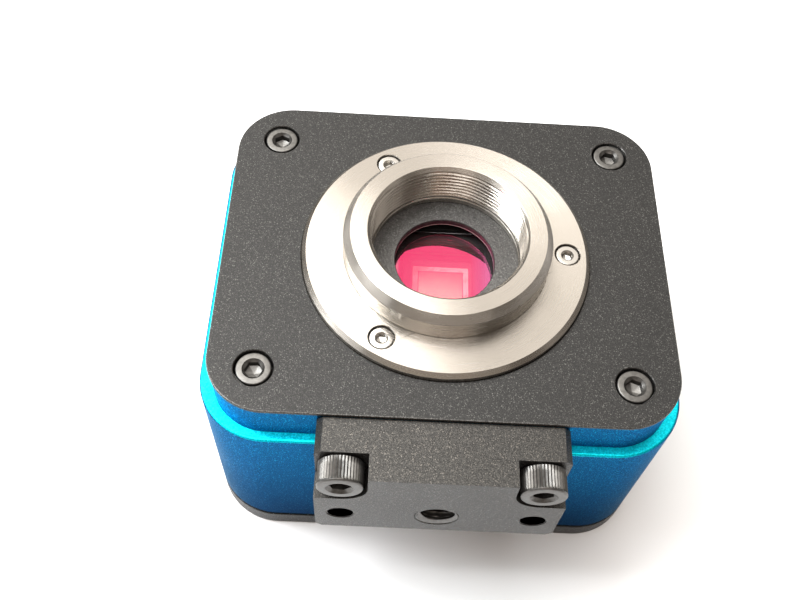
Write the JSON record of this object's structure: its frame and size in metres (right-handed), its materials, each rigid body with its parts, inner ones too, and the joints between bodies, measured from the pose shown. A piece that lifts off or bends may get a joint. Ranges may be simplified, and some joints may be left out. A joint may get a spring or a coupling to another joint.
{
  "type": "guide camera",
  "caption": "Small astronomy camera in a box body, with a one-inch C lens mount on its front, a filter window over the sensor and a tripod bracket on one side.",
  "frame": {"origin": "where the optical axis leaves the outside of the flat back cover, on which the camera lies", "axes": "+Z along the optical axis, out of the lens mount; -Y towards the tripod bracket; +X across the long side of the body"},
  "size_m": [0.077, 0.0711, 0.0516],
  "materials": {
    "black_anodised": "bead-blasted, black anodised",
    "blue_anodised": "satin, bright blue anodised",
    "turned_steel": "fine turned, bright",
    "black_steel": "black oxide, satin",
    "bright_steel": "plain stainless",
    "brass": "machined",
    "rubber": "moulded, matt",
    "window_glass": "coated filter glass that reflects deep pink",
    "clear_glass": "clear",
    "circuit_board": "solder mask",
    "ceramic": "dark sensor package",
    "silicon": "polished chip",
    "black_plastic": "moulded",
    "blue_plastic": "moulded",
    "heat_pad": "soft silicone"
  },
  "bodies": {
    "root": {"front_plate": "black_anodised", "back_cover": "black_anodised", "tripod_bracket": "black_anodised", "window_holder": "black_anodised", "body_shell": "blue_anodised", "c_mount_ring": "turned_steel", "front_plate_screw_1": "black_steel", "front_plate_screw_2": "black_steel", "front_plate_screw_3": "black_steel", "front_plate_screw_4": "black_steel", "back_cover_screw_1": "black_steel", "back_cover_screw_2": "black_steel", "back_cover_screw_3": "black_steel", "back_cover_screw_4": "black_steel", "bracket_screw_1": "black_steel", "bracket_screw_2": "black_steel", "window_holder_screw_1": "black_steel", "window_holder_screw_2": "black_steel", "window_holder_screw_3": "black_steel", "window_holder_screw_4": "black_steel", "ring_screw_1": "bright_steel", "ring_screw_2": "bright_steel", "ring_screw_3": "bright_steel", "sensor_board_screw_1": "bright_steel", "sensor_board_screw_2": "bright_steel", "sensor_board_screw_3": "bright_steel", "sensor_board_screw_4": "bright_steel", "main_board_screw_1": "bright_steel", "main_board_screw_2": "bright_steel", "main_board_screw_3": "bright_steel", "main_board_screw_4": "bright_steel", "usb_port": "bright_steel", "sensor_standoff_1": "brass", "sensor_standoff_2": "brass", "sensor_standoff_3": "brass", "sensor_standoff_4": "brass", "main_standoff_1": "brass", "main_standoff_2": "brass", "main_standoff_3": "brass", "main_standoff_4": "brass", "back_gasket": "rubber", "window_seal": "rubber", "window_glass": "window_glass", "sensor_cover_glass": "clear_glass", "status_led": "clear_glass", "light_pipe": "clear_glass", "sensor_board": "circuit_board", "main_board": "circuit_board", "sensor_package": "ceramic", "sensor_chip": "silicon", "controller_chip": "black_plastic", "memory_chip": "black_plastic", "stack_plug": "black_plastic", "stack_socket": "black_plastic", "guide_port": "black_plastic", "usb_tongue": "blue_plastic", "heat_pad": "heat_pad"}
  },
  "joints": []
}
